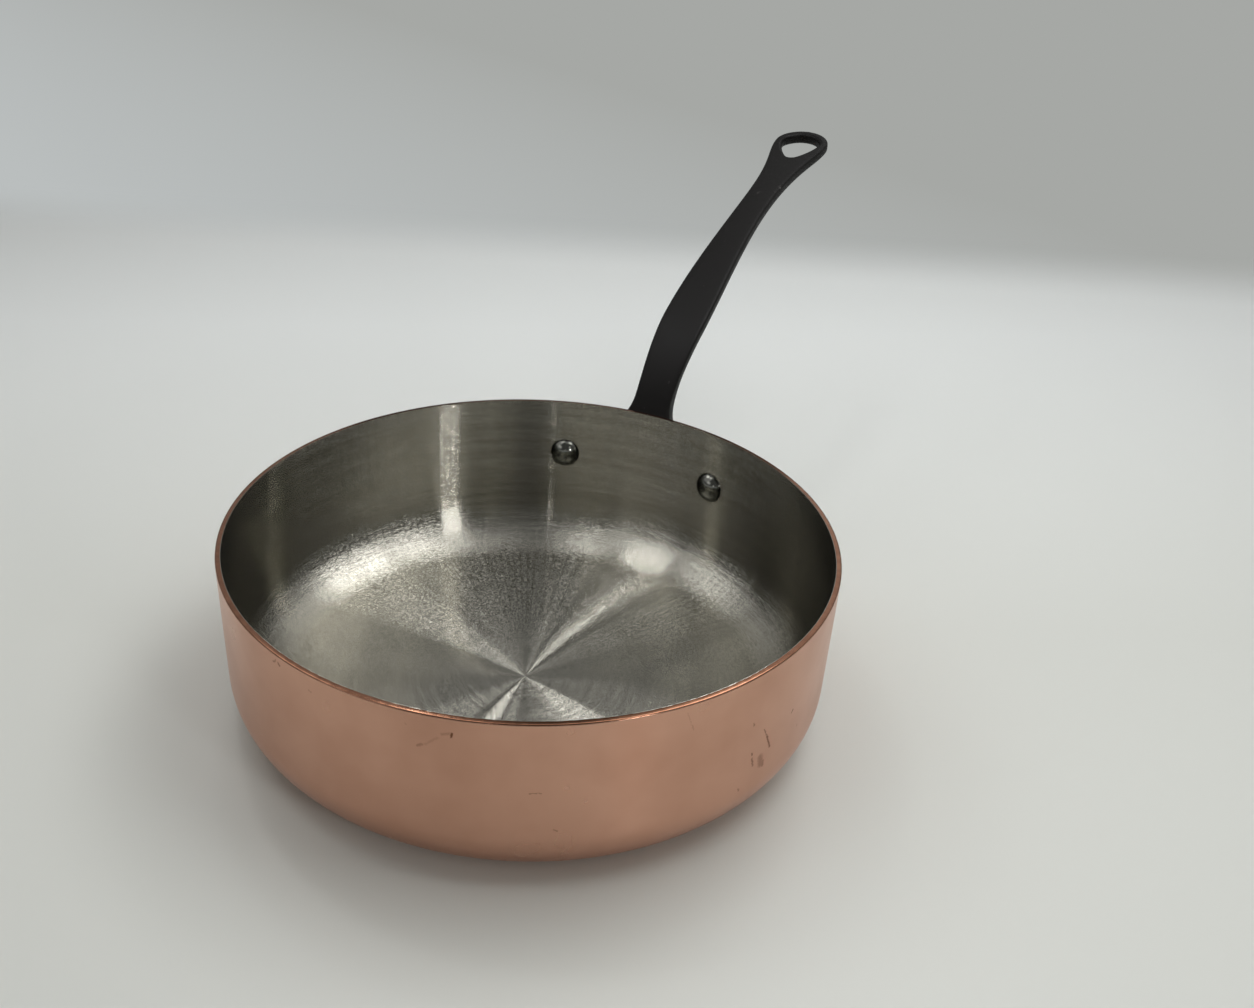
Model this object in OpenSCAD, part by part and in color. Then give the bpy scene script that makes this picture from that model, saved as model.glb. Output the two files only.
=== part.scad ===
// Copper saute pan with a stainless lining and a riveted cast iron handle.
// Millimetres, +Z up. The origin is the middle of the flat base, on the surface it stands on.
// The handle points along +X.

/* [Pan body] */
// Outside diameter of the pan
pan_diameter = 280; // [240:1:320]
// Outside height, from the resting face to the rim
pan_height = 85; // [78:1:100]
// Thickness of the copper wall and base
copper_thickness = 2.3; // [2:0.1:3]
// Thickness of the stainless lining
lining_thickness = 0.2; // [0.2:0.1:0.5]
// Outside radius of the turn from the wall into the base
base_corner_radius = 27; // [15:1:32]
// Rounding of the outer edge of the rim
rim_rounding = 0.5; // [0.2:0.1:1]

/* [Handle side curve] */
// Depth below the rim at which the root starts to bend away from the wall
root_bend_depth = 15.5; // [14:0.5:17]
// Radius of the bend at the root, on the face nearest the pan
root_bend_radius = 25; // [22:1:30]
// Slope of the root above the bend, in degrees from level
root_slope = 55; // [50:1:60]
// Length of the straight root above the bend
root_length = 6; // [4:0.5:10]
// Radius of the first bend of the shank
shoulder_radius = 95; // [80:1:120]
// Slope at the end of the first bend
shoulder_slope = 24; // [20:1:28]
// Radius of the long, slow bend of the shank
shank_radius = 530; // [450:10:620]
// Slope of the straight outer end
end_slope = 9.6; // [6:0.1:14]

/* [Handle outline] */
// Distance along the handle from the foot of the flange to its waist
waist_at = 52.4; // [50:0.2:58]
// Width at the waist, just above the rim
waist_width = 20; // [18:0.5:23]
// Distance along the handle from the foot to the widest part of the grip
belly_at = 104; // [95:1:120]
// Width of the grip at its widest
belly_width = 24.8; // [22:0.2:28]
// Distance along the handle from the foot to its narrowest part
neck_at = 221.4; // [208:0.2:236]
// Width at the narrowest part
neck_width = 17; // [15:0.2:20]
// Distance along the handle from the foot to the widest part of the hanging loop
loop_at = 305; // [295:0.5:315]
// Width of the hanging loop
loop_width = 33.2; // [32:0.2:36]
// Length of the rounded end beyond the widest part of the loop
loop_nose = 16.2; // [15:0.1:20]

/* [Handle section] */
// Thickness of the grip
grip_thickness = 6; // [5:0.1:8]
// Thickness of the hanging loop
loop_thickness = 6; // [5:0.1:7]
// Thickness where the root passes the rim
root_thickness = 9; // [8:0.1:10]
// Radius of the long edges
edge_radius = 1.6; // [1:0.1:1.8]
// Rise of the middle of each broad face above its edges
face_crown = 0.2; // [0:0.1:0.3]

/* [Hanging hole] */
// Width of the hole at its widest
hole_width = 23.2; // [20:0.2:24]
// Length from the widest part of the hole to its narrow end
hole_tail = 23.6; // [20:0.2:25]
// Length from the widest part of the hole to its wide end
hole_nose = 10; // [8:0.1:11]

/* [Flange and rivets] */
// Thickness of the flange on the wall
flange_thickness = 5; // [4:0.1:6]
// Height of the rivets below the rim
rivet_depth = 30; // [29:0.5:32]
// Distance of each rivet from the handle's middle, measured round the wall
rivet_offset = 43.5; // [36:0.5:48]
// Radius of the round ear about each rivet
ear_radius = 13; // [11:0.5:14]
// How far the foot of the flange hangs below the ears
foot_sag = 2.5; // [1:0.5:4]
// Diameter of the rivet shanks
rivet_diameter = 7; // [5:0.5:8]
// Diameter of the domed heads inside the pan
inner_head_diameter = 16.5; // [13:0.5:18]
// Height of the domed heads inside the pan
inner_head_height = 4.6; // [3:0.1:5.5]
// Diameter of the closed heads on the flange
outer_head_diameter = 12; // [10:0.5:14]
// Height of the closed heads on the flange
outer_head_height = 2.8; // [1.5:0.1:4]

/* [Hidden] */
$fn = 120;
degrees_per_radian = 180 / PI;

pan_radius = pan_diameter / 2;
lining_outer_radius = pan_radius - copper_thickness;
inner_radius = lining_outer_radius - lining_thickness;
rivet_height = pan_height - rivet_depth;
rivet_angle = rivet_offset / pan_radius * degrees_per_radian;
flange_radius = pan_radius + flange_thickness;

// Room left for the flat facets of the flange against the round wall.
seat_gap = 0.06;
// Height of the foot of the flange above the table.
foot_height = rivet_height - ear_radius - foot_sag;
// Half the width of the level middle of the foot.
foot_half_width = 8;
// Half the width of the blunt middle of the nose and of the hole's ends.
narrow_half_width = 1;
// Half the width of the middle strip of the nose, beyond the hole.
middle_strip = 0.6;
// Columns of points on each side of the middle of the handle's broad faces.
side_columns = 7;
columns = 2 * side_columns;
// Number of facets round a quarter of an edge.
edge_steps = 3;
// How far a rivet head reaches below the surface that it is trimmed to.
seat_sink = 0.25;

// Side curve: a chain of tangent lines and arcs, each end as [x, z, slope].

function arc_end(from, radius, slope) = [
    from[0] + radius * (sin(from[2]) - sin(slope)),
    from[1] + radius * (cos(slope) - cos(from[2])),
    slope
];

function line_end(from, length) = [
    from[0] + length * cos(from[2]),
    from[1] + length * sin(from[2]),
    from[2]
];

function arc_length(radius, from_slope, to_slope) =
    radius * (from_slope - to_slope) / degrees_per_radian;

function arc_point(from, radius, travelled) =
    arc_end(from, radius, from[2] - travelled / radius * degrees_per_radian);

foot = [pan_radius + seat_gap, foot_height, 90];
wall_length = pan_height - root_bend_depth - foot_height;
bend_start = line_end(foot, wall_length);
bend_end = arc_end(bend_start, root_bend_radius, root_slope);
root_end = line_end(bend_end, root_length);
shoulder_end = arc_end(root_end, shoulder_radius, shoulder_slope);
shank_end = arc_end(shoulder_end, shank_radius, end_slope);

bend_at = wall_length;
root_at = bend_at + arc_length(root_bend_radius, 90, root_slope);
shoulder_at = root_at + root_length;
shank_at = shoulder_at + arc_length(shoulder_radius, root_slope, shoulder_slope);
end_at = shank_at + arc_length(shank_radius, shoulder_slope, end_slope);

// The point and slope at a distance along the handle from its foot.
function side_curve(along) =
    along <= bend_at ? line_end(foot, along)
    : along <= root_at ? arc_point(bend_start, root_bend_radius, along - bend_at)
    : along <= shoulder_at ? line_end(bend_end, along - root_at)
    : along <= shank_at ? arc_point(root_end, shoulder_radius, along - shoulder_at)
    : along <= end_at ? arc_point(shoulder_end, shank_radius, along - shank_at)
    : line_end(shank_end, along - end_at);

// A flat plate's point, wrapped round the wall below the rim and left flat above it.

function mix(a, b, share) = a + (b - a) * share;

function ease(from, to, x) =
    let (t = min(1, max(0, (x - from) / (to - from))))
    t * t * (3 - 2 * t);

// Between these distances along the handle the plate turns from round to flat.
flat_from = root_at - 8;
flat_to = root_at + 20;

function place(along, across, depth) =
    let (
        p = side_curve(along),
        reach = p[0] + depth * sin(p[2]),
        height = p[1] - depth * cos(p[2]),
        turn = across / pan_radius * degrees_per_radian,
        flat = ease(flat_from, flat_to, along)
    )
    [
        reach * (flat + (1 - flat) * cos(turn)),
        across * flat + reach * sin(turn) * (1 - flat),
        height
    ];

// Distances along the handle at which its thickness starts and stops changing.
thicken_from = bend_at - 6;
thin_to = shoulder_at + 18;
taper_from = belly_at + 46;
taper_to = loop_at - 42;

// Thickness along the handle: flange, thicker root at the rim, grip, then the thin loop.
function thickness(along) =
    let (
        root = ease(thicken_from, root_at, along),
        grip = ease(root_at, thin_to, along),
        loop = ease(taper_from, taper_to, along)
    )
    flange_thickness + (root_thickness - flange_thickness) * root
    + (grip_thickness - root_thickness) * grip
    + (loop_thickness - grip_thickness) * loop;

// Share of the edge radius that the upper face keeps where it lies on the wall.
wall_rounding = 0.15;

// Share of the edge radius on the upper face: nearly sharp on the wall, full above the rim.
function upper_rounding(along) = mix(wall_rounding, 1, ease(bend_at, shoulder_at, along));

// Half outlines, from the foot or narrow end to the nose, as [along, across].

function bezier(a, b, c, d, t) =
    a * pow(1 - t, 3) + b * 3 * t * pow(1 - t, 2) + c * 3 * t * t * (1 - t) + d * pow(t, 3);

// Steps along a curve from one share of it to another, without the point that it starts from.
function curve(a, b, c, d, steps, from = 0, to = 1) =
    [for (i = [1:steps]) bezier(a, b, c, d, from + (to - from) * i / steps)];

// A curve between two widths that runs along the handle at both ends.
function swell(a, b, from_pull, to_pull, steps, from = 0, to = 1) =
    let (span = b[0] - a[0])
    curve(a, a + [span * from_pull, 0], b - [span * to_pull, 0], b, steps, from, to);

ear = [ear_radius + foot_sag, rivet_offset];
ear_low = ear - [ear_radius, 0];
ear_high = ear + [ear_radius, 0];
waist = [waist_at, waist_width / 2];
belly = [belly_at, belly_width / 2];
neck = [neck_at, neck_width / 2];
loop = [loop_at, loop_width / 2];
nose = [loop_at + loop_nose, narrow_half_width];
flare = waist_at - ear_high[0];

// Shares of the loop's two curves that lie beside the hole's narrow and wide ends.
hole_start_share = 0.57;
hole_end_share = 0.62;

function flare_curve(steps, from, to) = swell(neck, loop, 0.63, 0.22, steps, from, to);

function nose_curve(steps, from, to) =
    curve(
        loop,
        loop + [loop_nose * 0.58, 0],
        nose + [0, loop_width * 0.22],
        nose,
        steps,
        from,
        to
    );

shank_outline = concat(
    [[0, foot_half_width]],
    curve([0, foot_half_width], [0, rivet_offset / 2], ear_low - [0, rivet_offset / 4], ear_low, 4),
    [for (a = [-75:15:75]) ear + ear_radius * [sin(a), cos(a)]],
    [ear_high],
    curve(ear_high, ear_high - [0, rivet_offset * 0.52], waist - [flare * 0.53, 0], waist, 10),
    swell(waist, belly, 0.12, 0.21, 6),
    swell(belly, neck, 0.31, 0.38, 10),
    flare_curve(6, 0, hole_start_share * 0.95)
);

// Steps along the hole's outline, from its narrow end to its widest part and on to its wide end.
tail_steps = 9;
nose_steps = 8;

// The outer edge beside the hole, point for point with the hole's own outline.
loop_outline = concat(
    flare_curve(1, 0, hole_start_share),
    flare_curve(tail_steps, hole_start_share, 1),
    nose_curve(nose_steps, 0, hole_end_share)
);

handle_outline = concat(shank_outline, loop_outline, nose_curve(5, hole_end_share, 1));

hole_widest = [loop_at, hole_width / 2];
hole_narrow_end = [loop_at - hole_tail, narrow_half_width];
hole_wide_end = [loop_at + hole_nose, narrow_half_width];

hole_outline = concat(
    [hole_narrow_end],
    curve(
        hole_narrow_end,
        hole_narrow_end + [0, hole_width * 0.1],
        hole_widest - [hole_tail * 0.37, 0],
        hole_widest,
        tail_steps
    ),
    curve(
        hole_widest,
        hole_widest + [hole_nose * 0.43, 0],
        hole_wide_end + [0, hole_width * 0.19],
        hole_wide_end,
        nose_steps
    )
);

// The outward direction at point i of a half outline.
function outward(outline, i) =
    let (
        last = len(outline) - 1,
        run = i == 0 ? [0, 1] : i == last ? [0, -1] : outline[i + 1] - outline[i - 1]
    )
    [-run[1], run[0]] / norm(run);

// Edge sections: steps of [inset, depth, share of the thickness], from the upper face down.

quarter = [for (i = [0:edge_steps]) i * 90 / edge_steps];

rounded_edge = concat(
    [for (a = quarter) [edge_radius * (1 - sin(a)), edge_radius * (1 - cos(a)), 0]],
    [for (a = quarter) [edge_radius * (1 - cos(a)), edge_radius * (sin(a) - 1), 1]]
);

// A closed plate with a hole through its loop, both edges shaped, bent along the side curve
// and round the wall. Its grid of points has a row for each point of the outer outline.
module bent_plate(outer, hole, hole_row, edge, crown) {
    last_row = len(outer) - 1;
    last_column = columns - 1;
    last_step = len(edge) - 1;
    hole_end_row = hole_row + len(hole) - 1;
    hole_end = hole[len(hole) - 1][0] + edge_radius;
    cap = (last_row + 1) * columns;

    // The grids' outer and inner boundaries, once round, as [row, column].
    rim = concat(
        [for (i = [0:last_row]) [i, 0]],
        [for (k = [1:last_column - 1]) [last_row, k]],
        [for (i = [last_row:-1:0]) [i, last_column]],
        [for (k = [last_column - 1:-1:1]) [0, k]]
    );
    bore = concat(
        [for (i = [hole_row:hole_end_row]) [i, side_columns - 1]],
        [for (i = [hole_end_row:-1:hole_row]) [i, side_columns]]
    );

    // The flat place of the middle end of half a row: on the hole's edge where there is a hole.
    function inner_point(i, outer_point, inset) =
        i < hole_row ? [outer_point[0], outer_point[1] / last_column]
        : i > hole_end_row ?
            [
                mix(hole_end, outer_point[0], (i - hole_end_row) / (last_row - hole_end_row)),
                middle_strip
            ]
        : hole[i - hole_row] + outward(hole, i - hole_row) * inset;

    function surface_point(i, k, j, swelling) =
        let (
            rounding = edge[j][2] == 0 ? upper_rounding(outer[i][0]) : 1,
            inset = edge[j][0] * rounding,
            from = outer[i] - outward(outer, i) * inset,
            to = inner_point(i, from, inset),
            side = k < side_columns ? 1 : -1,
            share = (side > 0 ? k : last_column - k) / (side_columns - 1),
            flat_point = mix(from, to, share),
            depth = edge[j][1] * rounding + edge[j][2] * thickness(flat_point[0])
        )
        place(flat_point[0], flat_point[1] * side, depth + swelling * share * (2 - share));

    upper = [for (i = [0:last_row]) for (k = [0:last_column]) surface_point(i, k, 0, -crown)];
    lower = [
        for (i = [0:last_row]) for (k = [0:last_column]) surface_point(i, k, last_step, crown)
    ];
    rim_wall = [for (j = [1:last_step - 1]) for (c = rim) surface_point(c[0], c[1], j, 0)];
    bore_wall = [for (j = [1:last_step - 1]) for (c = bore) surface_point(c[0], c[1], j, 0)];

    // The number of the point on a boundary at a step of the edge.
    function boundary_index(path, first, j, n) =
        let (c = path[n % len(path)])
        j == 0 ? c[0] * columns + c[1]
        : j == last_step ? cap + c[0] * columns + c[1]
        : first + (j - 1) * len(path) + n % len(path);

    function wall_faces(path, first) = [
        for (j = [0:last_step - 1])
            for (n = [0:len(path) - 1])
                let (
                    a = boundary_index(path, first, j, n),
                    b = boundary_index(path, first, j, n + 1),
                    c = boundary_index(path, first, j + 1, n + 1),
                    d = boundary_index(path, first, j + 1, n)
                )
                each [[a, b, c], [a, c, d]]
    ];

    // Corners of the grid's cells, leaving out those that the hole takes.
    cells = [
        for (i = [0:last_row - 1])
            for (k = [0:last_column - 1])
                if (k != side_columns - 1 || i < hole_row || i >= hole_end_row)
                    i * columns + k
    ];
    upper_faces = [
        for (a = cells) let (b = a + columns) each [[a, a + 1, b + 1], [a, b + 1, b]]
    ];
    lower_faces = [
        for (a = cells) let (c = cap + a, d = c + columns) each [[c, d + 1, c + 1], [c, d, d + 1]]
    ];
    rim_faces = wall_faces(rim, 2 * cap);
    bore_faces = [
        for (f = wall_faces(bore, 2 * cap + len(rim_wall))) [f[0], f[2], f[1]]
    ];
    polyhedron(
        points = concat(upper, lower, rim_wall, bore_wall),
        faces = concat(upper_faces, lower_faces, rim_faces, bore_faces)
    );
}

// Pan body

// Half section of a solid straight-sided pan: flat base, round corner, upright wall.
module pan_section(radius, height, corner) {
    square([radius - corner, height]);
    translate([0, corner])
        square([radius, height - corner]);
    translate([radius - corner, corner])
        circle(r = corner);
}

// A revolved skin of the pan, from its outer radius inwards.
module pan_skin(radius, thickness, corner, base_height) {
    rotate_extrude()
        difference() {
            translate([0, base_height])
                pan_section(radius, pan_height - base_height, corner);
            translate([0, base_height + thickness])
                pan_section(radius - thickness, pan_height, corner - thickness);
        }
}

// Cuts the outer edge of the rim to a small radius.
module rim_edge_cutter() {
    centre = pan_radius - rim_rounding;
    rotate_extrude()
        translate([centre, pan_height - rim_rounding])
            difference() {
                square([rim_rounding + 1, rim_rounding + 1]);
                circle(r = rim_rounding);
            }
}

// Puts its children on a rivet's axis, with +Z pointing out through the wall.
module on_rivet_axis(side) {
    rotate([0, 0, side * rivet_angle])
        translate([0, 0, rivet_height])
            rotate([0, 90, 0])
                children();
}

module rivet_bore(side) {
    on_rivet_axis(side)
        translate([0, 0, pan_radius - 20])
            cylinder(h = 40, d = rivet_diameter);
}

module copper_shell() {
    color("#b5785a")
        difference() {
            pan_skin(pan_radius, copper_thickness, base_corner_radius, 0);
            rim_edge_cutter();
            rivet_bore(1);
            rivet_bore(-1);
        }
}

module steel_lining() {
    color("#9a9a94")
        difference() {
            pan_skin(
                lining_outer_radius,
                lining_thickness,
                base_corner_radius - copper_thickness,
                copper_thickness
            );
            rivet_bore(1);
            rivet_bore(-1);
        }
}

// Handle

module handle() {
    color("#2e2d2b")
        difference() {
            bent_plate(
                handle_outline,
                hole_outline,
                len(shank_outline),
                rounded_edge,
                face_crown
            );
            rivet_bore(1);
            rivet_bore(-1);
        }
}

// Rivets

// A spherical dome that rises to a height above Z = 0 and starts a little below it.
module dome(diameter, height) {
    rise = height + seat_sink;
    ball = (diameter * diameter / 4 + rise * rise) / (2 * rise);
    translate([0, 0, -seat_sink])
        rotate_extrude()
            intersection() {
                translate([0, rise - ball])
                    circle(r = ball);
                square([diameter, rise * 2]);
            }
}

// The heads start below their seats and are trimmed to the round walls that they sit on.
module rivet(side) {
    color("#c9c9c5") {
        intersection() {
            on_rivet_axis(side)
                translate([0, 0, inner_radius])
                    mirror([0, 0, 1])
                        dome(inner_head_diameter, inner_head_height);
            cylinder(h = pan_height, r = inner_radius);
        }
        on_rivet_axis(side)
            translate([0, 0, inner_radius - inner_head_height / 2])
                cylinder(
                    h = flange_radius - inner_radius + (inner_head_height + outer_head_height) / 2,
                    d = rivet_diameter
                );
        difference() {
            on_rivet_axis(side)
                translate([0, 0, flange_radius])
                    dome(outer_head_diameter, outer_head_height);
            cylinder(h = pan_height, r = flange_radius);
        }
    }
}

module rivet_left() {
    rivet(1);
}

module rivet_right() {
    rivet(-1);
}

copper_shell();
steel_lining();
handle();
rivet_left();
rivet_right();
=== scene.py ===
import math

import bmesh
import bpy
from bpy.props import (
    FloatProperty,
    FloatVectorProperty,
    IntProperty,
    PointerProperty,
    StringProperty,
)
from mathutils import Matrix, Vector


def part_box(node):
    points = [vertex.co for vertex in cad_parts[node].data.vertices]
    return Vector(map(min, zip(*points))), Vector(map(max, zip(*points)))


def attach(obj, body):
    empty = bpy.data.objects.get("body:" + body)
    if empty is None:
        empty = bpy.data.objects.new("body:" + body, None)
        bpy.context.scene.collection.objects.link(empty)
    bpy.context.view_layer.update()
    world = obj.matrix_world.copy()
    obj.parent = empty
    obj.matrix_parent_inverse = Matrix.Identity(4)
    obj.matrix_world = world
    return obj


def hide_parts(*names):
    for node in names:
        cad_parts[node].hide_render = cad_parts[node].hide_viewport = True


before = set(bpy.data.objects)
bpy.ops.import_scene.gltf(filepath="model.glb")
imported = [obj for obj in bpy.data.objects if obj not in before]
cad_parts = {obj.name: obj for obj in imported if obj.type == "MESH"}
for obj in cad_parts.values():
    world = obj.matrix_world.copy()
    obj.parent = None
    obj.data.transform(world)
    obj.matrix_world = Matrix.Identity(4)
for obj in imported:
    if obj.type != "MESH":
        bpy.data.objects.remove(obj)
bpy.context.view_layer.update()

bl_info = {
    "name": "Copper Saute Pan",
    "version": (1, 0, 0),
    "blender": (4, 5, 0),
    "location": "3D View > Sidebar > Saute Pan",
    "description": "Models a lined copper saute pan with a riveted cast iron handle",
    "category": "Add Mesh",
}

PAN_LOW, PAN_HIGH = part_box("copper_shell")
LINING_LOW, LINING_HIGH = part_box("steel_lining")

# The photograph's camera. Its heading is measured from +X, its pitch down from level.
CAMERA_PLACE = Vector((-0.46708, -0.22593, 0.3918))
VIEW_HEADING = math.radians(26.45)
VIEW_PITCH = math.radians(34.29)
VIEW_ROLL = math.radians(0.982)

# The painted backdrop begins along a line a little askew to the view, and its painted shade
# darkens towards the right of the picture.
BEND_HEADING = VIEW_HEADING - math.radians(7.4)
DIM_HEADING = VIEW_HEADING - math.radians(53)

# The floor reaches this far from the pan, in metres. The world takes up the backdrop there.
FAR_AWAY = 20.0


# Colours and shader nodes


def srgb(code):
    """A hex colour as linear red, green, blue and alpha."""
    channels = [int(code[i : i + 2], 16) / 255 for i in (1, 3, 5)]
    return (*[c / 12.92 if c <= 0.04045 else ((c + 0.055) / 1.055) ** 2.4 for c in channels], 1.0)


def level_direction(heading):
    """A level vector of length 1 at a heading from +X."""
    return Vector((math.cos(heading), math.sin(heading), 0.0))


def add_node(tree, kind, inputs=None, **settings):
    """Adds one shader node, sets its properties, and links or sets its inputs.

    Inputs go by name or number. A node given as a value is linked by its first output.
    """
    made = tree.nodes.new(kind)
    for name, value in settings.items():
        setattr(made, name, value)
    for key, value in (inputs or {}).items():
        if isinstance(value, bpy.types.Node):
            value = value.outputs[0]
        if isinstance(value, bpy.types.NodeSocket):
            tree.links.new(value, made.inputs[key])
        else:
            made.inputs[key].default_value = value
    return made


def new_material(name):
    """An empty node material and its tree."""
    material = bpy.data.materials.new(name)
    material.use_nodes = True
    material.node_tree.nodes.clear()
    return material, material.node_tree


def off_axis(tree, place):
    """The level part of a place, straight out from the pan's axis, and its length."""
    out = add_node(
        tree, "ShaderNodeVectorMath", {0: place, 1: (1.0, 1.0, 0.0)}, operation="MULTIPLY"
    )
    return out, add_node(tree, "ShaderNodeVectorMath", {0: out}, operation="LENGTH").outputs[1]


def turned_noise(tree, place, across_scale, along_scale, detail):
    """Noise for marks that run round the pan.

    across_scale is how many marks there are to the metre, from the base's middle out and up the
    wall. along_scale is how quickly they change on the way round, and is small for long marks.
    """
    out, radius = off_axis(tree, place)
    height = add_node(tree, "ShaderNodeSeparateXYZ", {0: place}).outputs[2]
    # This distance grows steadily from the middle of the base, round the corner, to the rim.
    path = add_node(tree, "ShaderNodeMath", {0: radius, 1: height}, operation="ADD")
    path = add_node(tree, "ShaderNodeMath", {0: path, 1: across_scale}, operation="MULTIPLY")
    heading = add_node(tree, "ShaderNodeVectorMath", {0: out}, operation="NORMALIZE")
    turn = add_node(
        tree, "ShaderNodeVectorMath", {0: heading, "Scale": along_scale}, operation="SCALE"
    )
    turn = add_node(tree, "ShaderNodeSeparateXYZ", {0: turn})
    drawn = add_node(
        tree, "ShaderNodeCombineXYZ", {0: path, 1: turn.outputs[0], 2: turn.outputs[1]}
    )
    return add_node(
        tree, "ShaderNodeTexNoise", {"Vector": drawn, "Scale": 1.0, "Detail": detail}
    )


# Materials

# A quarter of a turn lays a turned metal's sheen across the lines that run round the pan.
ACROSS_THE_LINES = 0.25

# Small brown marks on the copper wall. Each runs from one (bearing in degrees, height in mm)
# to another, with half a width in mm and a darkness.
COPPER_MARKS = (
    ((249.8, 54.1), (250.9, 49.0), 0.30, 0.75),
    ((250.9, 49.0), (252.2, 41.9), 0.50, 0.75),
    ((258.6, 52.3), (258.3, 51.0), 0.35, 0.90),
    ((261.5, 39.8), (261.5, 39.0), 0.30, 0.40),
    ((246.6, 61.2), (246.8, 60.0), 0.40, 0.50),
    ((247.3, 44.9), (247.4, 43.6), 0.40, 0.90),
    ((247.5, 41.7), (248.0, 37.4), 0.45, 0.60),
    ((249.8, 39.6), (250.2, 35.2), 1.50, 0.40),
    ((250.8, 36.2), (250.8, 33.6), 0.60, 0.50),
    ((160.4, 80.4), (161.2, 82.2), 0.40, 0.50),
    ((161.7, 81.7), (162.1, 80.8), 0.45, 0.60),
    ((169.1, 77.3), (169.5, 77.0), 0.40, 0.25),
    ((187.3, 78.6), (187.5, 78.3), 0.40, 0.25),
    ((193.3, 77.0), (194.3, 77.9), 0.60, 0.25),
    ((194.8, 78.2), (194.7, 76.3), 0.45, 0.85),
    ((190.5, 70.8), (192.5, 74.9), 0.50, 0.15),
    ((189.2, 69.3), (190.0, 70.3), 0.50, 0.35),
    ((207.0, 51.5), (208.8, 51.7), 0.30, 0.50),
    ((211.0, 32.6), (211.5, 32.1), 0.35, 0.50),
    ((232.0, 81.2), (233.5, 71.7), 0.20, 0.25),
    ((245.0, 28.5), (245.2, 27.6), 0.40, 0.50),
    ((239.9, 17.6), (240.2, 16.7), 0.40, 0.25),
)


def wall_marks(tree, place, radius, marks):
    """The darkness of short, ragged strokes on an upright round wall."""
    # Noise about 1 mm across pushes each point this far at most, so that the edges are ragged.
    push = 0.0016
    rag = add_node(tree, "ShaderNodeTexNoise", {"Vector": place, "Scale": 900.0, "Detail": 3.0})
    ragged = add_node(
        tree,
        "ShaderNodeVectorMath",
        {0: rag.outputs["Color"], 1: (push, push, push), 2: place},
        operation="MULTIPLY_ADD",
    )
    # The noise pushes by half of that on average, so the strokes move with it.
    middle = Vector((push, push, push)) / 2
    darkest = 0.0
    for from_place, to_place, half_width, darkness in marks:
        start, end = (
            radius * level_direction(math.radians(bearing))
            + Vector((0.0, 0.0, height / 1000))
            + middle
            for bearing, height in (from_place, to_place)
        )
        run = end - start
        # The nearest point of the stroke is a share of the run, held between its two ends.
        offset = add_node(
            tree, "ShaderNodeVectorMath", {0: ragged, 1: start}, operation="SUBTRACT"
        )
        share = add_node(
            tree,
            "ShaderNodeVectorMath",
            {0: offset, 1: run / run.length_squared},
            operation="DOT_PRODUCT",
        ).outputs[1]
        share = add_node(
            tree, "ShaderNodeMath", {0: share, 1: 1.0}, operation="MULTIPLY", use_clamp=True
        )
        nearest = add_node(
            tree, "ShaderNodeVectorMath", {0: run, "Scale": share}, operation="SCALE"
        )
        reach = add_node(
            tree, "ShaderNodeVectorMath", {0: offset, 1: nearest}, operation="DISTANCE"
        ).outputs[1]
        edge = half_width / 1000
        mark = add_node(
            tree,
            "ShaderNodeMapRange",
            {"Value": reach, 1: edge * 0.5, 2: edge * 1.5, 3: darkness, 4: 0.0},
        )
        darkest = add_node(tree, "ShaderNodeMath", {0: mark, 1: darkest}, operation="MAXIMUM")
    return darkest


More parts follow.
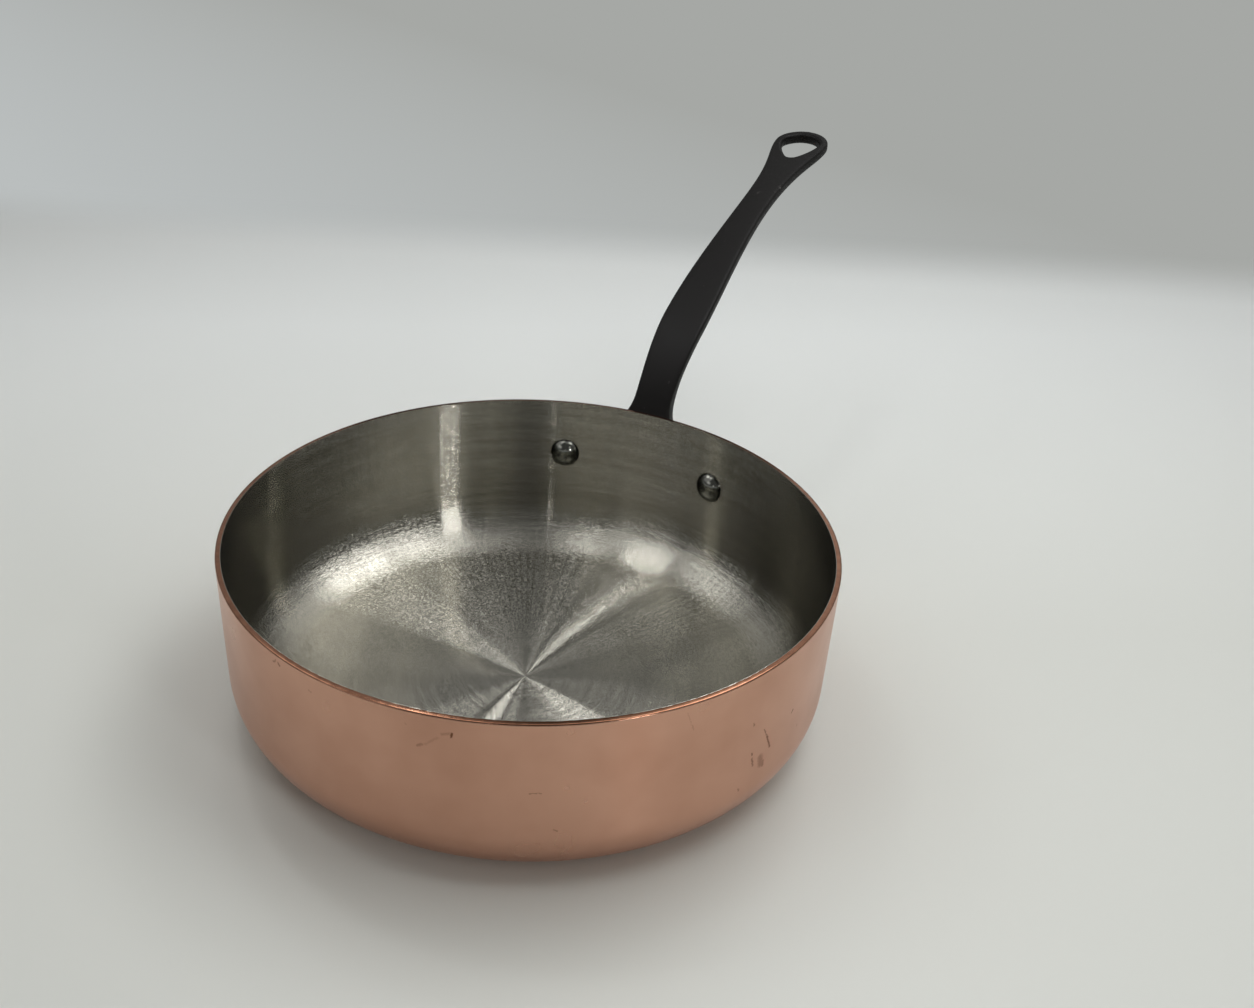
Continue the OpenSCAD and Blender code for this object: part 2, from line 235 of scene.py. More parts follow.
def satin_copper(colours, radius, height):
    """Satin-polished copper: soft highlights, fine lines drawn round it, a few brown marks."""
    material, tree = new_material("satin_copper")
    place = add_node(tree, "ShaderNodeTexCoord").outputs["Object"]
    clean_copper_or_lit_floor = srgb(colours.copper_hex)
    tarnish = srgb(colours.tarnish_hex)
    # Polishing lines about 0.8 mm apart give the sheen a faint grain along the wall.
    lines = turned_noise(tree, place, 1250.0, 5.0, 2.0)
    # Handling and heat leave broad, faint clouds a few centimetres wide.
    clouds = add_node(tree, "ShaderNodeTexNoise", {"Vector": place, "Scale": 22.0, "Detail": 3.0})
    cloudy = add_node(tree, "ShaderNodeMapRange", {0: clouds, 1: 0.40, 2: 0.75, 3: 0.0, 4: 0.35})
    shade = add_node(
        tree, "ShaderNodeMix", {0: cloudy, 6: clean_copper_or_lit_floor, 7: tarnish}, data_type="RGBA"
    ).outputs[2]
    marks = wall_marks(tree, place, radius, COPPER_MARKS)
    shade = add_node(
        tree, "ShaderNodeMix", {0: marks, 6: shade, 7: srgb(colours.mark_hex)}, data_type="RGBA"
    ).outputs[2]
    # The turned top of the rim, under 1 mm high, is browner and mottled, but smoother: it glints.
    above = add_node(tree, "ShaderNodeSeparateXYZ", {0: place}).outputs[2]
    rim = add_node(
        tree,
        "ShaderNodeMapRange",
        {0: above, 1: height - 0.0008, 2: height - 0.0002, 3: 0.0, 4: 1.0},
    )
    mottle = add_node(tree, "ShaderNodeTexNoise", {"Vector": place, "Scale": 260.0, "Detail": 3.0})
    rim_shade = add_node(
        tree,
        "ShaderNodeMix",
        {0: mottle, 6: srgb(colours.rim_dark_hex), 7: srgb(colours.rim_hex)},
        data_type="RGBA",
    ).outputs[2]
    shade = add_node(
        tree, "ShaderNodeMix", {0: rim, 6: shade, 7: rim_shade}, data_type="RGBA"
    ).outputs[2]
    roughness = add_node(tree, "ShaderNodeMapRange", {0: clouds, 1: 0.3, 2: 0.7, 3: 0.27, 4: 0.34})
    roughness = add_node(
        tree, "ShaderNodeMath", {0: marks, 1: 0.25, 2: roughness}, operation="MULTIPLY_ADD"
    )
    roughness = add_node(tree, "ShaderNodeMix", {0: rim, 2: roughness, 3: 0.16})
    shader = add_node(
        tree,
        "ShaderNodeBsdfPrincipled",
        {
            "Base Color": shade,
            "Metallic": 1.0,
            "Roughness": roughness,
            "Anisotropic": 0.7,
            "Anisotropic Rotation": ACROSS_THE_LINES,
            "Tangent": add_node(tree, "ShaderNodeTangent", direction_type="RADIAL", axis="Z"),
            "Normal": add_node(
                tree, "ShaderNodeBump", {"Strength": 1.0, "Distance": 0.00001, "Height": lines}
            ),
        },
    )
    add_node(tree, "ShaderNodeOutputMaterial", {"Surface": shader})
    return material


def brushed_stainless(colours):
    """Stainless steel turned round its axis: streaks of light run across fine ring marks."""
    material, tree = new_material("brushed_stainless")
    place = add_node(tree, "ShaderNodeTexCoord").outputs["Object"]
    # Fine brushing 0.5 mm apart, and long turning marks 2 mm apart, vary the shade a little.
    fine = turned_noise(tree, place, 2000.0, 9.0, 2.0)
    scores = turned_noise(tree, place, 450.0, 1.6, 3.0)
    grain = add_node(tree, "ShaderNodeMix", {0: 0.5, 2: fine, 3: scores})
    share = add_node(tree, "ShaderNodeMapRange", {0: grain, 1: 0.3, 2: 0.7, 3: 0.0, 4: 1.0})
    shade = add_node(
        tree,
        "ShaderNodeMix",
        {0: share, 6: srgb(colours.steel_dark_hex), 7: srgb(colours.steel_hex)},
        data_type="RGBA",
    ).outputs[2]
    # The middle of the base is turned a little finer, out to a faint circle.
    circle = 0.0735
    out, radius = off_axis(tree, place)
    outside = add_node(
        tree,
        "ShaderNodeMapRange",
        {0: radius, 1: circle - 0.001, 2: circle + 0.001, 3: 0.0, 4: 1.0},
    )
    roughness = add_node(
        tree, "ShaderNodeMapRange", {0: scores, 1: 0.3, 2: 0.7, 3: 0.15, 4: 0.17}
    )
    roughness = add_node(
        tree, "ShaderNodeMath", {0: outside, 1: 0.01, 2: roughness}, operation="MULTIPLY_ADD"
    )
    # Grooves under 0.1 mm apart tip the surface across themselves, by up to this much of the
    # normal, which draws every light into a narrow streak across them.
    steepest = 0.85
    normal = add_node(tree, "ShaderNodeNewGeometry").outputs["Normal"]
    round_axis = add_node(
        tree, "ShaderNodeVectorMath", {0: (0.0, 0.0, 1.0), 1: out}, operation="CROSS_PRODUCT"
    )
    across = add_node(
        tree, "ShaderNodeVectorMath", {0: round_axis, 1: normal}, operation="CROSS_PRODUCT"
    )
    across = add_node(tree, "ShaderNodeVectorMath", {0: across}, operation="NORMALIZE")
    grooves = turned_noise(tree, place, 16000.0, 60.0, 0.0)
    # The marks that do show add a share of their own, less its average.
    from_scores, from_fine = 0.15, 0.10
    average = (from_scores + from_fine) / 2
    grooves = add_node(
        tree, "ShaderNodeMath", {0: scores, 1: from_scores, 2: grooves}, operation="MULTIPLY_ADD"
    )
    grooves = add_node(
        tree, "ShaderNodeMath", {0: fine, 1: from_fine, 2: grooves}, operation="MULTIPLY_ADD"
    )
    grooves = add_node(tree, "ShaderNodeMath", {0: grooves, 1: average}, operation="SUBTRACT")
    tip = add_node(
        tree, "ShaderNodeMapRange", {0: grooves, 1: 0.0, 2: 1.0, 3: -steepest, 4: steepest}
    )
    tipped = add_node(
        tree, "ShaderNodeVectorMath", {0: across, "Scale": tip}, operation="SCALE"
    )
    tipped = add_node(tree, "ShaderNodeVectorMath", {0: normal, 1: tipped}, operation="ADD")
    tipped = add_node(tree, "ShaderNodeVectorMath", {0: tipped}, operation="NORMALIZE")
    shader = add_node(
        tree,
        "ShaderNodeBsdfPrincipled",
        {
            "Base Color": shade,
            "Metallic": 1.0,
            "Roughness": roughness,
            "Anisotropic": 1.0,
            "Anisotropic Rotation": ACROSS_THE_LINES,
            "Tangent": add_node(tree, "ShaderNodeTangent", direction_type="RADIAL", axis="Z"),
            "Normal": tipped,
        },
    )
    add_node(tree, "ShaderNodeOutputMaterial", {"Surface": shader})
    return material


def seasoned_cast_iron(colours):
    """Oil-blackened cast iron: near black, a low sheen, a fine sand-cast grain, worn specks."""
    material, tree = new_material("seasoned_cast_iron")
    place = add_node(tree, "ShaderNodeTexCoord").outputs["Object"]
    # The sand leaves a grain of about 0.6 mm, and the casting is a little uneven over 6 mm.
    grain = add_node(tree, "ShaderNodeTexNoise", {"Vector": place, "Scale": 1600.0})
    uneven = add_node(tree, "ShaderNodeTexNoise", {"Vector": place, "Scale": 160.0, "Detail": 3.0})
    shade = add_node(
        tree,
        "ShaderNodeMix",
        {0: uneven, 6: srgb(colours.iron_dark_hex), 7: srgb(colours.iron_hex)},
        data_type="RGBA",
    ).outputs[2]
    # A few specks about 2 mm wide are worn to a lighter grey.
    specks = add_node(tree, "ShaderNodeTexNoise", {"Vector": place, "Scale": 210.0, "Detail": 4.0})
    worn = add_node(tree, "ShaderNodeMapRange", {0: specks, 1: 0.70, 2: 0.78, 3: 0.0, 4: 0.5})
    shade = add_node(
        tree,
        "ShaderNodeMix",
        {0: worn, 6: shade, 7: srgb(colours.iron_worn_hex)},
        data_type="RGBA",
    ).outputs[2]
    cast = add_node(
        tree, "ShaderNodeBump", {"Strength": 0.5, "Distance": 0.0001, "Height": uneven}
    )
    shader = add_node(
        tree,
        "ShaderNodeBsdfPrincipled",
        {
            "Base Color": shade,
            "Roughness": add_node(
                tree, "ShaderNodeMapRange", {0: uneven, 1: 0.3, 2: 0.7, 3: 0.44, 4: 0.54}
            ),
            "Specular IOR Level": 0.15,
            "Normal": add_node(
                tree,
                "ShaderNodeBump",
                {"Strength": 0.5, "Distance": 0.00003, "Height": grain, "Normal": cast},
            ),
        },
    )
    add_node(tree, "ShaderNodeOutputMaterial", {"Surface": shader})
    return material


def polished_steel(colours, inner_seat, outer_seat):
    """Peened and polished stainless rivets: dark mirrors, faint dents, painted shade round the
    heads.
    """
    material, tree = new_material("polished_steel")
    place = add_node(tree, "ShaderNodeTexCoord").outputs["Object"]
    # Dents about 4 mm across bend the small reflections.
    dents = add_node(tree, "ShaderNodeTexNoise", {"Vector": place, "Scale": 260.0, "Detail": 1.0})
    # Painted shade darkens each head round its seat, inside and outside the wall, up to 1.4 mm off
    # it.
    _, radius = off_axis(tree, place)
    middle = (inner_seat + outer_seat) / 2
    half = (outer_seat - inner_seat) / 2
    reach = add_node(tree, "ShaderNodeMath", {0: radius, 1: middle}, operation="SUBTRACT")
    reach = add_node(tree, "ShaderNodeMath", {0: reach}, operation="ABSOLUTE")
    seat_shade = add_node(
        tree, "ShaderNodeMapRange", {0: reach, 1: half + 0.0004, 2: half + 0.0014, 3: 0.9, 4: 0.0}
    )
    shade = add_node(
        tree,
        "ShaderNodeMix",
        {0: seat_shade, 6: srgb(colours.rivet_hex), 7: srgb(colours.seat_shade_hex)},
        data_type="RGBA",
    ).outputs[2]
    roughness = add_node(tree, "ShaderNodeMapRange", {0: dents, 1: 0.3, 2: 0.7, 3: 0.10, 4: 0.17})
    shader = add_node(
        tree,
        "ShaderNodeBsdfPrincipled",
        {
            "Base Color": shade,
            "Metallic": 1.0,
            "Roughness": roughness,
            "Normal": add_node(
                tree, "ShaderNodeBump", {"Strength": 1.0, "Distance": 0.0001, "Height": dents}
            ),
        },
    )
    add_node(tree, "ShaderNodeOutputMaterial", {"Surface": shader})
    return material


def painted_backdrop_shade(tree, place, colours):
    """The backdrop's grey: painted shade, darker towards the right of the picture."""
    rightward = add_node(
        tree,
        "ShaderNodeVectorMath",
        {0: place, 1: level_direction(DIM_HEADING)},
        operation="DOT_PRODUCT",
    ).outputs[1]
    dim = add_node(tree, "ShaderNodeMapRange", {0: rightward, 1: 0.1, 2: 0.85, 3: 0.0, 4: 1.0})
    return add_node(
        tree,
        "ShaderNodeMix",
        {0: dim, 6: srgb(colours.shaded_backdrop_hex), 7: srgb(colours.shaded_backdrop_right_hex)},
        data_type="RGBA",
    ).outputs[2]


def pale_vinyl(colours):
    """A flat pale studio sheet, painted lighter behind the pan, that passes some way behind it
    into a plain grey backdrop of painted shade.
    """
    material, tree = new_material("pale_vinyl")
    place = add_node(tree, "ShaderNodeTexCoord").outputs["Object"]
    ahead = add_node(
        tree,
        "ShaderNodeVectorMath",
        {0: place, 1: level_direction(VIEW_HEADING)},
        operation="DOT_PRODUCT",
    ).outputs[1]
    # The sheet is painted lighter over 0.4 m, from just past the pan's middle towards the back: a
    # painted pool of the lamps' light.
    clean_copper_or_lit_floor = add_node(tree, "ShaderNodeMapRange", {0: ahead, 1: 0.05, 2: 0.45, 3: 0.0, 4: 1.0})
    shade = add_node(
        tree,
        "ShaderNodeMix",
        {0: clean_copper_or_lit_floor, 6: srgb(colours.floor_hex), 7: srgb(colours.lit_floor_back_hex)},
        data_type="RGBA",
    ).outputs[2]
    # The flat sheet shows the backdrop from about 0.6 m behind the pan's middle, along a line that
    # runs a little askew.
    # On the other sides it passes into the backdrop between 0.9 and 1.8 m away.
    bend = add_node(
        tree,
        "ShaderNodeVectorMath",
        {0: place, 1: level_direction(BEND_HEADING)},
        operation="DOT_PRODUCT",
    ).outputs[1]
    behind = add_node(
        tree,
        "ShaderNodeMapRange",
        {0: bend, 1: 0.585, 2: 0.72, 3: 0.0, 4: 1.0},
        interpolation_type="SMOOTHSTEP",
    )
    away = add_node(tree, "ShaderNodeVectorMath", {0: place}, operation="LENGTH").outputs[1]
    around = add_node(
        tree,
        "ShaderNodeMapRange",
        {0: away, 1: 0.9, 2: 1.8, 3: 0.0, 4: 1.0},
        interpolation_type="SMOOTHERSTEP",
    )
    far = add_node(tree, "ShaderNodeMath", {0: behind, 1: around}, operation="MAXIMUM")
    grey = painted_backdrop_shade(tree, place, colours)
    floor = add_node(
        tree, "ShaderNodeBsdfPrincipled", {"Base Color": shade, "Roughness": 0.4, "IOR": 1.45}
    )
    backdrop = add_node(tree, "ShaderNodeEmission", {"Color": grey, "Strength": 1.0})
    unlit = add_node(tree, "ShaderNodeBsdfDiffuse", {"Color": grey})
    # The backdrop, grey with painted shade, shines only for the camera and in reflections, so it
    # adds no light.
    path = add_node(tree, "ShaderNodeLightPath")
    seen = add_node(
        tree,
        "ShaderNodeMath",
        {0: path.outputs["Is Camera Ray"], 1: path.outputs["Is Glossy Ray"]},
        operation="MAXIMUM",
    )
    shown = add_node(tree, "ShaderNodeMixShader", {0: seen, 1: unlit, 2: backdrop})
    sheet = add_node(tree, "ShaderNodeMixShader", {0: far, 1: floor, 2: shown})
    add_node(tree, "ShaderNodeOutputMaterial", {"Surface": sheet})
    return material


# Modelling helpers


def only(*pieces):
    """Leaves just these objects selected, the last one active."""
    if bpy.context.object and bpy.context.object.mode != "OBJECT":
        bpy.ops.object.mode_set(mode="OBJECT")
    bpy.ops.object.select_all(action="DESELECT")
    for piece in pieces:
        piece.select_set(True)
    bpy.context.view_layer.objects.active = pieces[-1]


def select_faces(piece, wanted):
    """In edit mode, selects just the faces that wanted(centre, normal) accepts."""
    bpy.ops.mesh.select_all(action="DESELECT")
    bpy.ops.mesh.select_mode(type="FACE")
    mesh = bmesh.from_edit_mesh(piece.data)
    chosen = [f for f in mesh.faces if wanted(f.calc_center_median(), f.normal)]
    for face in chosen:
        face.select_set(True)
    bmesh.update_edit_mesh(piece.data)
    if not chosen:
        raise RuntimeError(f"{piece.name}: no face to select")


def select_edges(piece, wanted):
    """In edit mode, selects just the edges whose two ends wanted(point) accepts."""
    bpy.ops.mesh.select_all(action="DESELECT")
    bpy.ops.mesh.select_mode(type="EDGE")
    mesh = bmesh.from_edit_mesh(piece.data)
    chosen = [e for e in mesh.edges if all(wanted(v.co) for v in e.verts)]
    for edge in chosen:
        edge.select_set(True)
    bmesh.update_edit_mesh(piece.data)
    if not chosen:
        raise RuntimeError(f"{piece.name}: no edge to select")


def near(a, b, slack=0.00002):
    """Whether two lengths in metres are the same, give or take the slack."""
    return abs(a - b) < slack


def finish_piece(piece, name, material, slot, *nodes):
    """Names a piece, dresses it, smooths it, and lets it stand for its CAD nodes."""
    sharpest_smooth = math.radians(32)
    only(piece)
    bpy.ops.object.transform_apply(location=True, rotation=True, scale=True)
    bpy.ops.object.shade_smooth_by_angle(angle=sharpest_smooth)
    piece.name = piece.data.name = name
    piece.data.materials.clear()
    piece.data.materials.append(material)
    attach(piece, "root")
    if nodes:
        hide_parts(*nodes)


def turned_skin(radius, low, high, corner, thickness, segments):
    """A pan skin: a cylinder opened at the top, its base edge rounded, given a wall."""
    corner_rings = 20
    # Narrow rings beside the round corner and the rim keep the base flat and the wall straight.
    narrow = 0.0012
    base_step = radius * 0.3
    bpy.ops.object.select_all(action="DESELECT")
    bpy.ops.mesh.primitive_cylinder_add(
        vertices=segments, radius=radius, depth=high - low, location=(0, 0, (high + low) / 2)
    )
    skin = bpy.context.object
    bpy.ops.object.transform_apply(location=True, rotation=True, scale=True)
    bpy.ops.object.mode_set(mode="EDIT")
    select_faces(skin, lambda c, n: n.z > 0.9)
    bpy.ops.mesh.delete(type="FACE")
    select_edges(skin, lambda p: near(p.z, low))
    bpy.ops.mesh.bevel(offset=corner, offset_type="OFFSET", segments=corner_rings, profile=0.5)
    select_faces(skin, lambda c, n: n.z < -0.999 and near(c.x, 0) and near(c.y, 0))
    for step in (narrow, base_step, base_step):
        bpy.ops.mesh.inset(thickness=step)
    bpy.ops.mesh.poke()
    for height in (low + corner + narrow, high - narrow):
        bpy.ops.mesh.select_all(action="SELECT")
        bpy.ops.mesh.bisect(plane_co=(0, 0, height), plane_no=(0, 0, 1))
    bpy.ops.object.mode_set(mode="OBJECT")
    wall = skin.modifiers.new("wall", "SOLIDIFY")
    wall.thickness = thickness
    wall.offset = -1
    wall.use_even_offset = True
    bpy.ops.object.modifier_apply(modifier=wall.name)
    return skin


def round_rim(skin, radius, high, rounding):
    """Rounds the rim's edge loop at a radius."""
    off_radius = 0.00006
    bpy.ops.object.mode_set(mode="EDIT")
    select_edges(
        skin, lambda p: near(p.z, high) and near(math.hypot(p.x, p.y), radius, off_radius)
    )
    bpy.ops.mesh.bevel(offset=rounding, offset_type="OFFSET", segments=4, profile=0.5)
    bpy.ops.object.mode_set(mode="OBJECT")


# The sizes and colours that a user would change


class PanSizes(bpy.types.PropertyGroup):
    diameter: FloatProperty(
        name="Diameter",
        description="Outside diameter of the pan",
        default=PAN_HIGH.x - PAN_LOW.x,
        unit="LENGTH",
    )
    height: FloatProperty(
        name="Height",
        description="Outside height of the pan, from the base to the rim",
        default=PAN_HIGH.z - PAN_LOW.z,
        unit="LENGTH",
    )
    lining_diameter: FloatProperty(
        name="Lining diameter",
        description="Outside diameter of the stainless lining",
        default=LINING_HIGH.x - LINING_LOW.x,
        unit="LENGTH",
    )
    lining_thickness: FloatProperty(
        name="Lining thickness",
        description="Thickness of the stainless lining",
        default=0.0002,
        unit="LENGTH",
    )
    corner_radius: FloatProperty(
        name="Corner radius",
        description="Outside radius between the wall and the base",
        default=0.027,
        unit="LENGTH",
    )
    rim_rounding: FloatProperty(
        name="Rim rounding",
        description="Radius of the outer edge of the rim",
        default=0.0007,
        unit="LENGTH",
    )
    rivet_inner_seat: FloatProperty(
        name="Inner rivet seat",
        description="Radius of the lining's inner face, on which the inner rivet heads sit",
        default=0.1375,
        unit="LENGTH",
    )
    rivet_outer_seat: FloatProperty(
        name="Outer rivet seat",
        description="Radius of the flange's outer face, on which the outer rivet heads sit",
        default=0.145,
        unit="LENGTH",
    )
    segments: IntProperty(
        name="Segments", description="Facets round the pan", default=256, min=64, max=512
    )


class PanColours(bpy.types.PropertyGroup):
    copper_hex: StringProperty(
        name="Copper", description="Clean satin copper, as sRGB hex", default="#d3a48d"
    )
    tarnish_hex: StringProperty(
        name="Tarnish", description="Faint clouds on the copper, as sRGB hex", default="#a8755a"
    )
    rim_hex: StringProperty(
        name="Rim", description="Turned top of the copper rim, as sRGB hex", default="#a97c63"
    )
    rim_dark_hex: StringProperty(
        name="Dark rim", description="Brown patches on the rim, as sRGB hex", default="#704b3a"
    )
    mark_hex: StringProperty(
        name="Marks", description="Small marks on the copper, as sRGB hex", default="#74492e"
    )
    steel_hex: StringProperty(
        name="Steel", description="Bright lines of the lining, as sRGB hex", default="#b3b1a7"
    )
    steel_dark_hex: StringProperty(
        name="Dark steel", description="Dark lines of the lining, as sRGB hex", default="#a3a097"
    )
    iron_hex: StringProperty(
        name="Iron", description="Worn black of the handle, as sRGB hex", default="#131110"
    )
    iron_dark_hex: StringProperty(
        name="Dark iron", description="Deep black of the handle, as sRGB hex", default="#0a0908"
    )
    iron_worn_hex: StringProperty(
        name="Worn iron", description="Rubbed specks on the handle, as sRGB hex", default="#5a5754"
    )
    rivet_hex: StringProperty(
        name="Rivet", description="Polished rivet heads, as sRGB hex", default="#868680"
    )
    # Painted shade: a dark ring round the rivet heads, where they meet the wall.
    seat_shade_hex: StringProperty(
        name="Seat shade", description="Dark line round the rivet heads, as sRGB hex", default="#1c1a17"
    )
    floor_hex: StringProperty(
        name="Floor", description="The studio sheet near the pan, as sRGB hex", default="#dcded8"
    )
    # Painted light: the sheet is painted lighter behind the pan, a pool of the lamps' light.
    lit_floor_back_hex: StringProperty(
        name="Far floor", description="The sheet behind the pan, as sRGB hex", default="#f2f5f3"
    )
    # Painted shade: the backdrop's grey, darker to the right, stands in for the far sheet that the
    # lamps light less.
    shaded_backdrop_hex: StringProperty(
        name="Backdrop", description="The sheet beyond its bend, as sRGB hex", default="#babebe"
    )
    shaded_backdrop_right_hex: StringProperty(
        name="Dim backdrop", description="Right of the backdrop, as sRGB hex", default="#a6a8a5"
    )
    room_hex: StringProperty(
        name="Room", description="Even light of the room, as sRGB hex", default="#dfe0de"
    )


class StudioSettings(bpy.types.PropertyGroup):
    lens: FloatProperty(
        name="Lens", description="Focal length of the camera, in mm", default=38.01
    )
    shift: FloatVectorProperty(
        name="Shift",
        description="Sideways and upward shift of the frame",
        size=2,
        default=(0.0900, 0.0893),
    )
    lamp_level: FloatProperty(
        name="Lamp level", description="Share of full power that every lamp runs at", default=1.0
    )
    room_level: FloatProperty(
        name="Room level", description="Strength of the even light of the room", default=0.15
    )


# The pan's pieces


class SAUTE_OT_copper_skin(bpy.types.Operator):
    """Models the copper wall and base, with a round corner and a softened rim"""

    bl_idname = "saute.copper_skin"
    bl_label = "Copper skin"

    def execute(self, context):
        sizes = context.scene.saute_sizes
        radius = sizes.diameter / 2
        copper = radius - sizes.lining_diameter / 2
        skin = turned_skin(
            radius, 0.0, sizes.height, sizes.corner_radius, copper, sizes.segments
        )
        round_rim(skin, radius, sizes.height, sizes.rim_rounding)
        finish_piece(
            skin,
            "copper_skin",
            satin_copper(context.scene.saute_colours, radius, sizes.height),
            "copper",
            "copper_shell",
        )
        return {"FINISHED"}


class SAUTE_OT_steel_lining(bpy.types.Operator):
    """Models the thin stainless lining that covers the pan's inside up to the rim"""

    bl_idname = "saute.steel_lining"
    bl_label = "Steel lining"

    def execute(self, context):
        sizes = context.scene.saute_sizes
        radius = sizes.lining_diameter / 2
        copper = sizes.diameter / 2 - radius
        lining = turned_skin(
            radius,
            copper,
            sizes.height,
            sizes.corner_radius - copper,
            sizes.lining_thickness,
            sizes.segments,
        )
        finish_piece(
            lining,
            "stainless_lining",
            brushed_stainless(context.scene.saute_colours),
            "stainless",
            "steel_lining",
        )
        return {"FINISHED"}


class SAUTE_OT_handle(bpy.types.Operator):
    """Smooths the cast handle: its facets become one flowing surface"""

    bl_idname = "saute.handle"
    bl_label = "Handle"

    def execute(self, context):
        casting = bpy.data.objects.new("casting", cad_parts["handle"].data.copy())
        context.collection.objects.link(casting)
        only(casting)
        bpy.ops.object.mode_set(mode="EDIT")
        bpy.ops.mesh.select_all(action="SELECT")
        bpy.ops.mesh.remove_doubles(threshold=0.000005)
        # Pairs of triangles become four-sided faces, which subdivide evenly.
        bpy.ops.mesh.tris_convert_to_quads(
            face_threshold=math.radians(40), shape_threshold=math.radians(60)
        )
        bpy.ops.object.mode_set(mode="OBJECT")
        smoothing = casting.modifiers.new("smoothing", "SUBSURF")
        smoothing.levels = smoothing.render_levels = 1
        bpy.ops.object.modifier_apply(modifier=smoothing.name)
        finish_piece(
            casting,
            "cast_handle",
            seasoned_cast_iron(context.scene.saute_colours),
            "cast_iron",
            "handle",
        )
        return {"FINISHED"}


class SAUTE_OT_rivets(bpy.types.Operator):
    """Dresses the two rivets in polished steel with painted shade round their heads"""

    bl_idname = "saute.rivets"
    bl_label = "Rivets"

    def execute(self, context):
        steel = polished_steel(
            context.scene.saute_colours,
            context.scene.saute_sizes.rivet_inner_seat,
            context.scene.saute_sizes.rivet_outer_seat,
        )
        for name in ("rivet_left", "rivet_right"):
            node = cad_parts[name]
            node.data.materials.clear()
            node.data.materials.append(steel)
        return {"FINISHED"}


# The studio

# All lamps point here, at the middle of the pan's floor.
AIM = Vector((0.0, 0.0, 0.03))

# Lamps round the pan: compass bearing from +X and height above the table in degrees, distance,
# width and depth in metres, and power in watts. The small ones draw the streaks in the steel.
STUDIO_LAMPS = (
    ("window_right_behind", 339, 57, 1.0, 0.42, 0.24, 1.18),
    ("slit_right_behind", 338, 56, 1.0, 0.05, 0.20, 0.16),
    ("window_high_right", 339, 66, 1.0, 0.30, 0.20, 0.25),
    ("window_top_right", 339, 76, 1.0, 0.30, 0.20, 0.28),
    ("strip_left_behind", 64, 67, 1.0, 0.07, 0.12, 0.50),
    ("strip_top_left", 64, 78, 1.0, 0.15, 0.12, 0.20),
    ("spark_left_behind", 75.3, 67.3, 0.975, 0.05, 0.05, 0.04),
    ("spark_behind", 44, 59.5, 1.05, 0.06, 0.06, 0.19),
    ("panel_behind", 15, 70, 1.0, 0.40, 0.20, 0.31),
    ("low_front", 240.3, 22, 1.0, 0.13, 0.08, 1.00),
    ("high_front", 240.3, 42, 1.0, 0.13, 0.10, 0.09),
    ("thin_tube", 196.6, 22, 1.0, 0.012, 0.08, 0.055),
    ("panel_right", 291, 63, 1.0, 0.50, 0.40, 1.62),
    ("panel_left", 81, 53, 1.0, 0.50, 0.25, 0.54),
    ("patch_left", 100, 55, 1.0, 0.20, 0.20, 0.12),
    ("panel_far_left", 131, 72, 1.0, 0.30, 0.40, 0.42),
    ("panel_low_left", 150, 35, 1.0, 0.40, 0.30, 0.26),
    ("ceiling", 0, 90, 1.4, 1.0, 1.0, 0.9),
    ("sheet_right", 300, 45, 1.6, 1.2, 1.0, 1.75),
    ("sheet_right_behind", 345, 40, 1.6, 1.2, 1.0, 2.1),
    ("sheet_behind", 15, 30, 1.6, 0.8, 0.6, 0.2),
    ("sheet_left_behind", 60, 40, 1.6, 1.2, 1.0, 1.3),
    ("sheet_left", 120, 45, 1.5, 1.2, 1.0, 1.4),
)


def hang_lamps(level):
    """Hangs the lamps round the pan. The camera doesn't see them."""
    for name, compass, height, distance, width, depth, power in STUDIO_LAMPS:
        raised = math.radians(height)
        place = distance * (
            math.cos(raised) * level_direction(math.radians(compass))
            + Vector((0.0, 0.0, math.sin(raised)))
        )
        bpy.ops.object.light_add(type="AREA", location=place)
        lamp = bpy.context.object
        lamp.name = name
        lamp.data.shape = "RECTANGLE"
        lamp.data.size = width
        lamp.data.size_y = depth
        lamp.data.energy = power * level
        lamp.visible_camera = False
        lamp.rotation_euler = (AIM - place).to_track_quat("-Z", "Y").to_euler()


def room_world(colours, level):
    """The room's even light, with the backdrop's painted shade in front of it for the camera and
    for metal.
    """
    world = bpy.data.worlds.new("studio_room")
    world.use_nodes = True
    tree = world.node_tree
    tree.nodes.clear()
    room = add_node(
        tree, "ShaderNodeBackground", {"Color": srgb(colours.room_hex), "Strength": level}
    )
    toward = add_node(tree, "ShaderNodeTexCoord").outputs["Generated"]
    far_place = add_node(
        tree, "ShaderNodeVectorMath", {0: toward, "Scale": FAR_AWAY}, operation="SCALE"
    )
    backdrop = add_node(
        tree,
        "ShaderNodeBackground",
        {"Color": painted_backdrop_shade(tree, far_place, colours), "Strength": 1.0},
    )
    # The camera sees the backdrop go on upward. Metal sees it up to its soft top edge, which
    # lies between these two heights, each the sine of an angle above level.
    top_begins, top_ends = 0.15, 0.25
    height = add_node(tree, "ShaderNodeSeparateXYZ", {0: toward}).outputs[2]
    low = add_node(
        tree, "ShaderNodeMapRange", {0: height, 1: top_begins, 2: top_ends, 3: 1.0, 4: 0.0}
    )
    path = add_node(tree, "ShaderNodeLightPath")
    mirrored = add_node(
        tree, "ShaderNodeMath", {0: path.outputs["Is Glossy Ray"], 1: low}, operation="MULTIPLY"
    )
    seen = add_node(
        tree,
        "ShaderNodeMath",
        {0: path.outputs["Is Camera Ray"], 1: mirrored},
        operation="MAXIMUM",
    )
    shown = add_node(tree, "ShaderNodeMixShader", {0: seen, 1: room, 2: backdrop})
    add_node(tree, "ShaderNodeOutputWorld", {"Surface": shown})
    return world


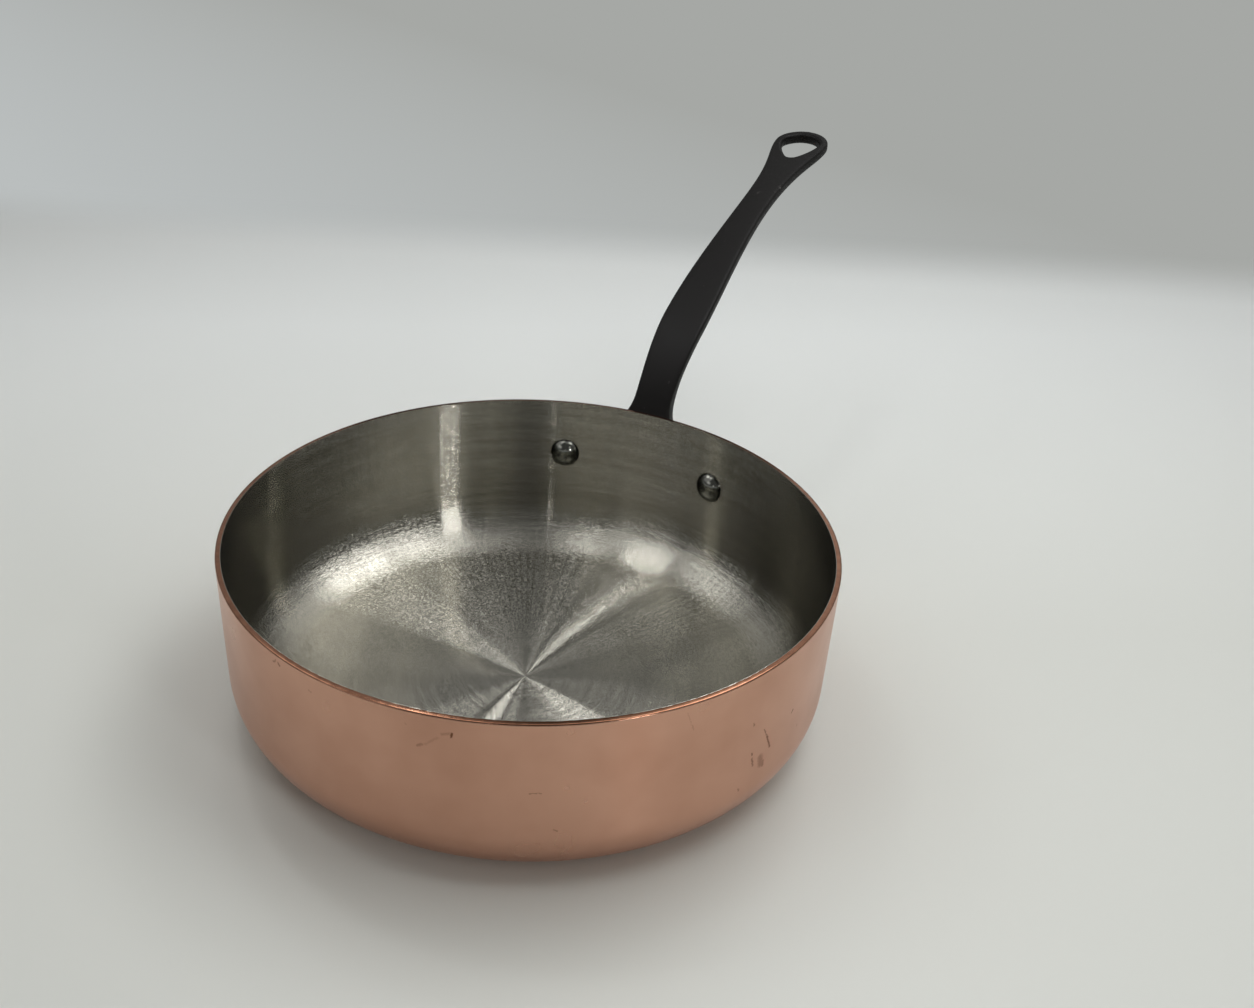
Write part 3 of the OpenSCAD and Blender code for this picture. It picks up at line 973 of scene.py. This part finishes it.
def photo_camera(lens, shift):
    """The camera, standing, tilted and rolled as the photograph's was."""
    ahead = level_direction(VIEW_HEADING)
    forward = ahead * math.cos(VIEW_PITCH) - Vector((0.0, 0.0, math.sin(VIEW_PITCH)))
    level_right = Vector((ahead.y, -ahead.x, 0.0))
    level_up = level_right.cross(forward)
    right = level_right * math.cos(VIEW_ROLL) + level_up * math.sin(VIEW_ROLL)
    up = level_up * math.cos(VIEW_ROLL) - level_right * math.sin(VIEW_ROLL)
    turn = Matrix((right, up, -forward)).transposed().to_4x4()
    bpy.ops.object.camera_add()
    camera = bpy.context.object
    camera.name = "studio_camera"
    camera.matrix_world = Matrix.Translation(CAMERA_PLACE) @ turn
    camera.data.sensor_width = 36.0
    camera.data.lens = lens
    camera.data.shift_x, camera.data.shift_y = shift
    camera.data.clip_start = 0.01
    camera.data.clip_end = 100.0
    return camera


class SAUTE_OT_studio(bpy.types.Operator):
    """Sets up the pale floor, the soft light and the camera"""

    bl_idname = "saute.studio"
    bl_label = "Studio"

    def execute(self, context):
        scene = context.scene
        studio = scene.saute_studio
        bpy.ops.object.select_all(action="DESELECT")
        bpy.ops.mesh.primitive_plane_add(size=2 * FAR_AWAY, location=(0, 0, 0))
        floor = bpy.context.object
        floor.name = "studio_floor"
        floor.data.materials.append(pale_vinyl(scene.saute_colours))
        hang_lamps(studio.lamp_level)
        scene.world = room_world(scene.saute_colours, studio.room_level)
        scene.camera = photo_camera(studio.lens, studio.shift)
        scene.view_settings.view_transform = "Standard"
        return {"FINISHED"}


PIECE_OPERATORS = (
    SAUTE_OT_copper_skin,
    SAUTE_OT_steel_lining,
    SAUTE_OT_handle,
    SAUTE_OT_rivets,
    SAUTE_OT_studio,
)


class SAUTE_PT_panel(bpy.types.Panel):
    """Lists the pan's sizes, colours and operators"""

    bl_idname = "SAUTE_PT_panel"
    bl_label = "Saute Pan"
    bl_space_type = "VIEW_3D"
    bl_region_type = "UI"
    bl_category = "Saute Pan"

    def draw(self, context):
        layout = self.layout
        scene = context.scene
        for group in (scene.saute_sizes, scene.saute_colours, scene.saute_studio):
            box = layout.box()
            for name in group.__annotations__:
                box.prop(group, name)
        for kind in PIECE_OPERATORS:
            layout.operator(kind.bl_idname)


CLASSES = (PanSizes, PanColours, StudioSettings, *PIECE_OPERATORS, SAUTE_PT_panel)


def register():
    for kind in CLASSES:
        bpy.utils.register_class(kind)
    bpy.types.Scene.saute_sizes = PointerProperty(type=PanSizes)
    bpy.types.Scene.saute_colours = PointerProperty(type=PanColours)
    bpy.types.Scene.saute_studio = PointerProperty(type=StudioSettings)


def unregister():
    del bpy.types.Scene.saute_studio
    del bpy.types.Scene.saute_colours
    del bpy.types.Scene.saute_sizes
    for kind in reversed(CLASSES):
        bpy.utils.unregister_class(kind)


def main():
    register()
    bpy.ops.saute.copper_skin()
    bpy.ops.saute.steel_lining()
    bpy.ops.saute.handle()
    bpy.ops.saute.rivets()
    bpy.ops.saute.studio()


if __name__ == "__main__":
    main()
